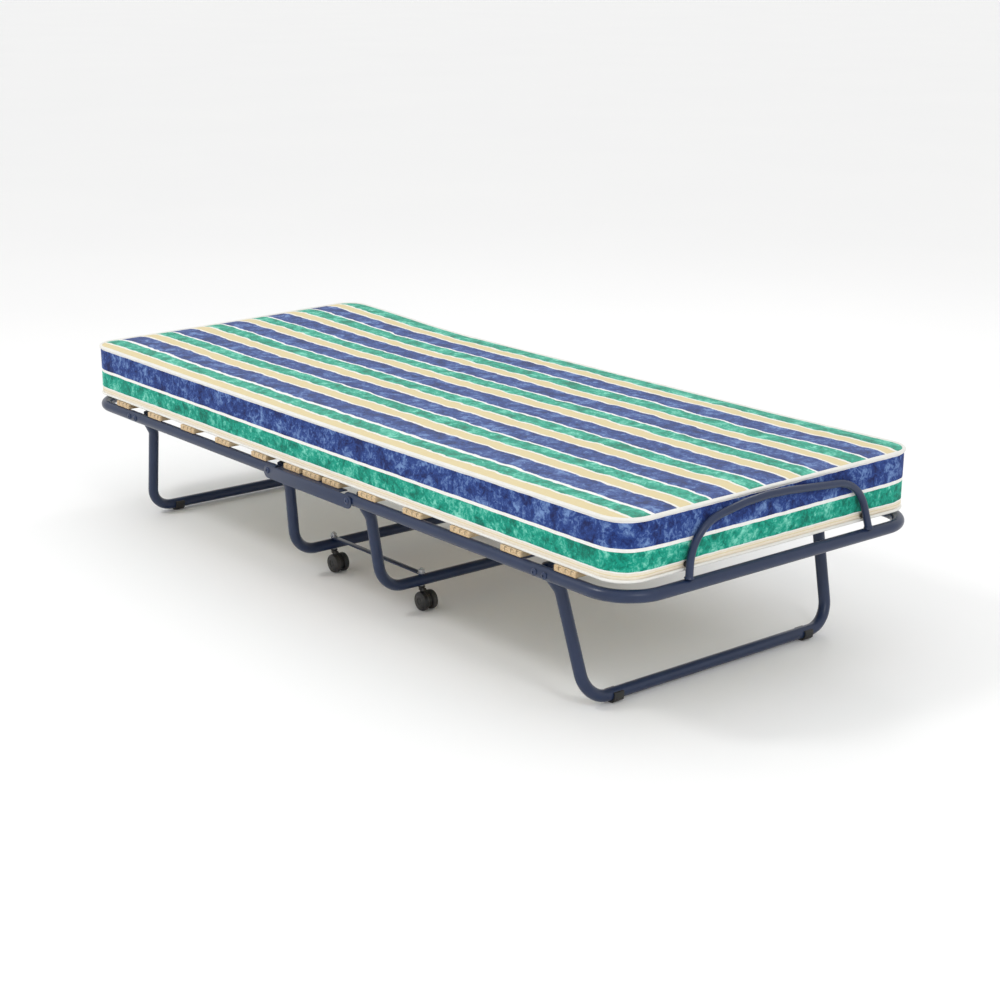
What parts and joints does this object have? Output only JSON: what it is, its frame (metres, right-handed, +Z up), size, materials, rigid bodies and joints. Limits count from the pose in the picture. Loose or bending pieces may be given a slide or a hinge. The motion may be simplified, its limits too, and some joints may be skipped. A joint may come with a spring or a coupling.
{
  "type": "folding cot",
  "caption": "Folding cot with a tube frame that folds up about a centre section on castors, folding end legs, wooden slats and a striped foam mattress.",
  "frame": {"origin": "on the floor, below the middle of the bed, halfway between the two fold axes", "axes": "+X along the bed to the end with the arch, +Y across to the far side, +Z up"},
  "size_m": [1.978, 0.8422, 0.4196],
  "materials": {
    "powder_coat": "satin blue grey powder coat",
    "slat_wood": "sanded, pale",
    "ticking": "woven, wide stripes in blue, green and yellow",
    "black_nylon": "semi gloss black",
    "shoe_plastic": "matt black",
    "buffer_rubber": "matt black",
    "zinc_plate": "bright zinc",
    "rivet_steel": "painted with the frame"
  },
  "bodies": {
    "centre_section": {"side_plate_far": "powder_coat", "side_plate_near": "powder_coat", "centre_leg_left": "powder_coat", "centre_leg_right": "powder_coat", "tie_bar_far": "powder_coat", "tie_bar_near": "powder_coat", "centre_slat_left": "slat_wood", "centre_slat_middle": "slat_wood", "centre_slat_right": "slat_wood", "castor_nut_left_far": "zinc_plate", "castor_nut_left_near": "zinc_plate", "castor_nut_right_far": "zinc_plate", "castor_nut_right_near": "zinc_plate", "fold_rivet_left_far": "rivet_steel", "fold_rivet_left_near": "rivet_steel", "fold_rivet_right_far": "rivet_steel", "fold_rivet_right_near": "rivet_steel", "mattress_centre": "ticking"},
    "left_half": {"left_frame": "powder_coat", "left_slat_1": "slat_wood", "left_slat_2": "slat_wood", "left_slat_3": "slat_wood", "left_slat_4": "slat_wood", "left_slat_5": "slat_wood", "leg_pivot_left_far": "rivet_steel", "leg_pivot_left_near": "rivet_steel", "leg_stop_left_far": "rivet_steel", "leg_stop_left_near": "rivet_steel", "mattress_left": "ticking"},
    "right_half": {"right_frame": "powder_coat", "right_slat_1": "slat_wood", "right_slat_2": "slat_wood", "right_slat_3": "slat_wood", "right_slat_4": "slat_wood", "right_slat_5": "slat_wood", "leg_pivot_right_far": "rivet_steel", "leg_pivot_right_near": "rivet_steel", "leg_stop_right_far": "rivet_steel", "leg_stop_right_near": "rivet_steel", "mattress_right": "ticking", "head_arch": "powder_coat", "arch_buffer_far": "buffer_rubber", "arch_buffer_near": "buffer_rubber"},
    "left_end_leg": {"left_leg": "powder_coat", "left_foot_far": "shoe_plastic", "left_foot_near": "shoe_plastic"},
    "right_end_leg": {"right_leg": "powder_coat", "right_foot_far": "shoe_plastic", "right_foot_near": "shoe_plastic"},
    "castor_swivel_left_far": {"castor_body_left_far": "black_nylon"},
    "castor_roller_left_far": {"castor_wheels_left_far": "black_nylon"},
    "castor_swivel_left_near": {"castor_body_left_near": "black_nylon"},
    "castor_roller_left_near": {"castor_wheels_left_near": "black_nylon"},
    "castor_swivel_right_far": {"castor_body_right_far": "black_nylon"},
    "castor_roller_right_far": {"castor_wheels_right_far": "black_nylon"},
    "castor_swivel_right_near": {"castor_body_right_near": "black_nylon"},
    "castor_roller_right_near": {"castor_wheels_right_near": "black_nylon"}
  },
  "joints": [
    {"name": "left_half_fold", "type": "hinge", "parent": "centre_section", "child": "left_half", "pos_m": [-0.151, 0, 0.2725], "axis": [0, 1, 0], "range_deg": [0, 88], "deforming": ["mattress_centre"]},
    {"name": "right_half_fold", "type": "hinge", "parent": "centre_section", "child": "right_half", "pos_m": [0.151, 0, 0.2725], "axis": [0, -1, 0], "range_deg": [0, 88], "deforming": ["mattress_centre"]},
    {"name": "left_leg_fold", "type": "hinge", "parent": "left_half", "child": "left_end_leg", "pos_m": [-0.746, 0, 0.2725], "axis": [0, -1, 0], "range_deg": [0, 102]},
    {"name": "right_leg_fold", "type": "hinge", "parent": "right_half", "child": "right_end_leg", "pos_m": [0.746, 0, 0.2725], "axis": [0, 1, 0], "range_deg": [0, 102]},
    {"name": "castor_swivel_left_far", "type": "hinge", "parent": "centre_section", "child": "castor_swivel_left_far", "pos_m": [-0.16562, 0.234, 0.0635], "axis": [0, 0, 1], "continuous": true},
    {"name": "castor_roll_left_far", "type": "hinge", "parent": "castor_swivel_left_far", "child": "castor_roller_left_far", "pos_m": [-0.14961, 0.234, 0.0215], "axis": [0, 1, 0], "continuous": true},
    {"name": "castor_swivel_left_near", "type": "hinge", "parent": "centre_section", "child": "castor_swivel_left_near", "pos_m": [-0.16562, -0.234, 0.0635], "axis": [0, 0, 1], "continuous": true},
    {"name": "castor_roll_left_near", "type": "hinge", "parent": "castor_swivel_left_near", "child": "castor_roller_left_near", "pos_m": [-0.14961, -0.234, 0.0215], "axis": [0, 1, 0], "continuous": true},
    {"name": "castor_swivel_right_far", "type": "hinge", "parent": "centre_section", "child": "castor_swivel_right_far", "pos_m": [0.16562, 0.234, 0.0635], "axis": [0, 0, 1], "continuous": true},
    {"name": "castor_roll_right_far", "type": "hinge", "parent": "castor_swivel_right_far", "child": "castor_roller_right_far", "pos_m": [0.18161, 0.234, 0.0215], "axis": [0, 1, 0], "continuous": true},
    {"name": "castor_swivel_right_near", "type": "hinge", "parent": "centre_section", "child": "castor_swivel_right_near", "pos_m": [0.16562, -0.234, 0.0635], "axis": [0, 0, 1], "continuous": true},
    {"name": "castor_roll_right_near", "type": "hinge", "parent": "castor_swivel_right_near", "child": "castor_roller_right_near", "pos_m": [0.18161, -0.234, 0.0215], "axis": [0, 1, 0], "continuous": true}
  ]
}
